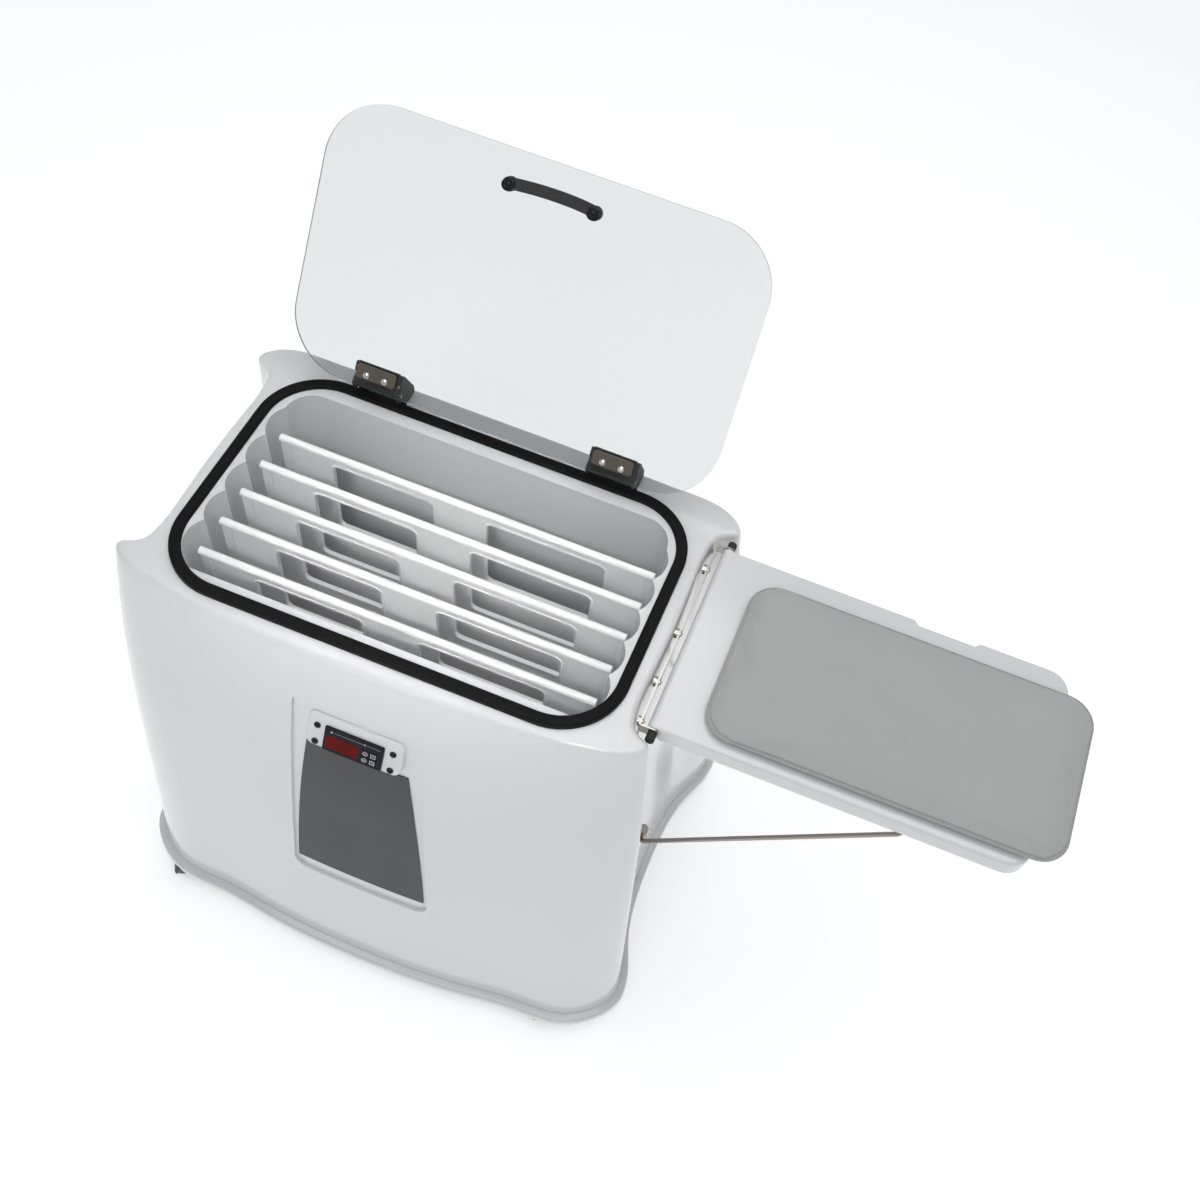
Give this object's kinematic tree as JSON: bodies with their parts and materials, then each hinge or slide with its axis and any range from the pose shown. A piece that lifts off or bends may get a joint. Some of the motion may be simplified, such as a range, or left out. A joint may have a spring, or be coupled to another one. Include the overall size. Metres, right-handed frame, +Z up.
{
  "type": "hot pack heater",
  "caption": "Free-standing hot pack heater: flared white cabinet on casters, open water tank with lift-out racks, glass lid, digital thermostat and fold-down side shelf with a pack.",
  "frame": {"origin": "on the floor, straight below the middle of the lid gasket", "axes": "+X to the right towards the side shelf, +Y to the back towards the lid hinges, +Z up"},
  "size_m": [1.1699, 0.6339, 1.0412],
  "materials": {
    "white_gloss": "glossy white moulding",
    "rack_white": "satin white",
    "tank_grey": "glossy light grey",
    "gasket_black": "satin black",
    "foam": "closed-cell foam",
    "base_grey": "satin dark grey",
    "nickel_steel": "nickel plated",
    "strut_steel": "drawn wire",
    "stainless": "brushed stainless",
    "screw_steel": "bright plated",
    "screw_black": "black oxide",
    "black_plastic": "satin black",
    "thermostat_black": "glossy black",
    "display_red": "dark red translucent window",
    "key_grey": "soft-touch grey",
    "panel_grey": "dark grey film",
    "clear_glass": "clear tempered glass",
    "clamp_metal": "brown-grey plated",
    "pack_grey": "light grey cloth",
    "caster_grey": "satin dark grey",
    "wheel_grey": "hard rubber",
    "brass": "bare brass",
    "lever_red": "red enamel"
  },
  "bodies": {
    "cabinet": {"cabinet_shell": "white_gloss", "control_bezel": "white_gloss", "base_plate": "base_grey", "tank_liner": "tank_grey", "tank_insulation": "foam", "lid_gasket": "gasket_black", "rack_stand": "stainless", "heating_element": "stainless", "element_nuts": "brass", "thermostat_probe": "stainless", "thermal_cutout": "screw_steel", "bezel_screws": "screw_black", "thermostat_body": "thermostat_black", "display_window": "display_red", "front_panel": "panel_grey", "hinge_pins": "screw_steel", "hinge_base_screws": "screw_steel", "shelf_rail": "nickel_steel", "shelf_rail_screws": "screw_steel", "shelf_hinge_rod": "nickel_steel", "shelf_rod_caps": "black_plastic", "strut_brackets": "nickel_steel", "caster_stems": "screw_steel", "drain_pipe": "stainless", "drain_valve": "brass", "cord_gland": "black_plastic", "hinge_base_right": "black_plastic", "hinge_base_left": "black_plastic"},
    "lid": {"lid_glass": "clear_glass", "lid_handle": "black_plastic", "handle_screws": "screw_steel", "clamp_screws": "screw_steel", "hinge_leaf_right": "black_plastic", "hinge_leaf_left": "black_plastic", "clamp_plate_right": "clamp_metal", "clamp_plate_left": "clamp_metal"},
    "shelf": {"side_shelf": "white_gloss"},
    "strut": {"shelf_strut": "strut_steel"},
    "pack": {"hot_pack": "pack_grey"},
    "drain_handle": {"drain_lever": "lever_red"},
    "rack_1_body": {"rack_1": "rack_white"},
    "rack_2_body": {"rack_2": "rack_white"},
    "rack_3_body": {"rack_3": "rack_white"},
    "rack_4_body": {"rack_4": "rack_white"},
    "rack_5_body": {"rack_5": "rack_white"},
    "key_1_body": {"key_1": "key_grey"},
    "caster_1": {"caster_hood_1": "caster_grey"},
    "wheels_1": {"caster_wheels_1": "wheel_grey"},
    "key_2_body": {"key_2": "key_grey"},
    "caster_2": {"caster_hood_2": "caster_grey"},
    "wheels_2": {"caster_wheels_2": "wheel_grey"},
    "key_3_body": {"key_3": "key_grey"},
    "caster_3": {"caster_hood_3": "caster_grey"},
    "wheels_3": {"caster_wheels_3": "wheel_grey"},
    "key_4_body": {"key_4": "key_grey"},
    "caster_4": {"caster_hood_4": "caster_grey"},
    "wheels_4": {"caster_wheels_4": "wheel_grey"}
  },
  "joints": [
    {"name": "lid_hinge", "type": "hinge", "parent": "cabinet", "child": "lid", "pos_m": [0, 0.1663, 0.7523], "axis": [-1, 0, 0], "range_deg": [-123.1, 0]},
    {"name": "shelf_hinge", "type": "hinge", "parent": "cabinet", "child": "shelf", "pos_m": [0.322, 0.012, 0.715], "axis": [0, 1, 0], "range_deg": [0, 82]},
    {"name": "strut_swing", "type": "hinge", "parent": "cabinet", "child": "strut", "pos_m": [0.335, 0.012, 0.408], "axis": [0, 1, 0], "range_deg": [0, 126]},
    {"name": "pack_lift", "type": "slide", "parent": "shelf", "child": "pack", "axis": [0, 0, 1], "range_m": [0, 0.12]},
    {"name": "drain_turn", "type": "hinge", "parent": "cabinet", "child": "drain_handle", "pos_m": [-0.15, 0.25302, 0.13], "axis": [0, 0, 1], "range_deg": [0, 90]},
    {"name": "rack_1_lift", "type": "slide", "parent": "cabinet", "child": "rack_1_body", "axis": [0, 0, 1], "range_m": [0, 0.33]},
    {"name": "rack_2_lift", "type": "slide", "parent": "cabinet", "child": "rack_2_body", "axis": [0, 0, 1], "range_m": [0, 0.33]},
    {"name": "rack_3_lift", "type": "slide", "parent": "cabinet", "child": "rack_3_body", "axis": [0, 0, 1], "range_m": [0, 0.33]},
    {"name": "rack_4_lift", "type": "slide", "parent": "cabinet", "child": "rack_4_body", "axis": [0, 0, 1], "range_m": [0, 0.33]},
    {"name": "rack_5_lift", "type": "slide", "parent": "cabinet", "child": "rack_5_body", "axis": [0, 0, 1], "range_m": [0, 0.33]},
    {"name": "key_1_press", "type": "slide", "parent": "cabinet", "child": "key_1_body", "axis": [0, 0.8988, -0.4384], "range_m": [0, 0.0008], "stiffness_N_per_m": 600},
    {"name": "key_2_press", "type": "slide", "parent": "cabinet", "child": "key_2_body", "axis": [0, 0.8988, -0.4384], "range_m": [0, 0.0008], "stiffness_N_per_m": 600},
    {"name": "key_3_press", "type": "slide", "parent": "cabinet", "child": "key_3_body", "axis": [0, 0.8988, -0.4384], "range_m": [0, 0.0008], "stiffness_N_per_m": 600},
    {"name": "key_4_press", "type": "slide", "parent": "cabinet", "child": "key_4_body", "axis": [0, 0.8988, -0.4384], "range_m": [0, 0.0008], "stiffness_N_per_m": 600},
    {"name": "caster_1_swivel", "type": "hinge", "parent": "cabinet", "child": "caster_1", "pos_m": [-0.293, -0.236, 0.02], "axis": [0, 0, 1], "continuous": true},
    {"name": "wheels_1_roll", "type": "hinge", "parent": "caster_1", "child": "wheels_1", "pos_m": [-0.31254, -0.24774, 0.0115], "axis": [0.515, -0.8572, 0], "continuous": true},
    {"name": "caster_2_swivel", "type": "hinge", "parent": "cabinet", "child": "caster_2", "pos_m": [0.293, -0.236, 0.02], "axis": [0, 0, 1], "continuous": true},
    {"name": "wheels_2_roll", "type": "hinge", "parent": "caster_2", "child": "wheels_2", "pos_m": [0.27269, -0.24635, 0.0115], "axis": [0.454, -0.891, 0], "continuous": true},
    {"name": "caster_3_swivel", "type": "hinge", "parent": "cabinet", "child": "caster_3", "pos_m": [0.293, 0.205, 0.02], "axis": [0, 0, 1], "continuous": true},
    {"name": "wheels_3_roll", "type": "hinge", "parent": "caster_3", "child": "wheels_3", "pos_m": [0.27026, 0.20659, 0.0115], "axis": [-0.0698, -0.9976, 0], "continuous": true},
    {"name": "caster_4_swivel", "type": "hinge", "parent": "cabinet", "child": "caster_4", "pos_m": [-0.293, 0.205, 0.02], "axis": [0, 0, 1], "continuous": true},
    {"name": "wheels_4_roll", "type": "hinge", "parent": "caster_4", "child": "wheels_4", "pos_m": [-0.31545, 0.20896, 0.0115], "axis": [-0.1736, -0.9848, 0], "continuous": true}
  ],
  "couplings": [
    {"joint": "strut_swing", "follows": "shelf_hinge", "ratio": 1.529}
  ]
}
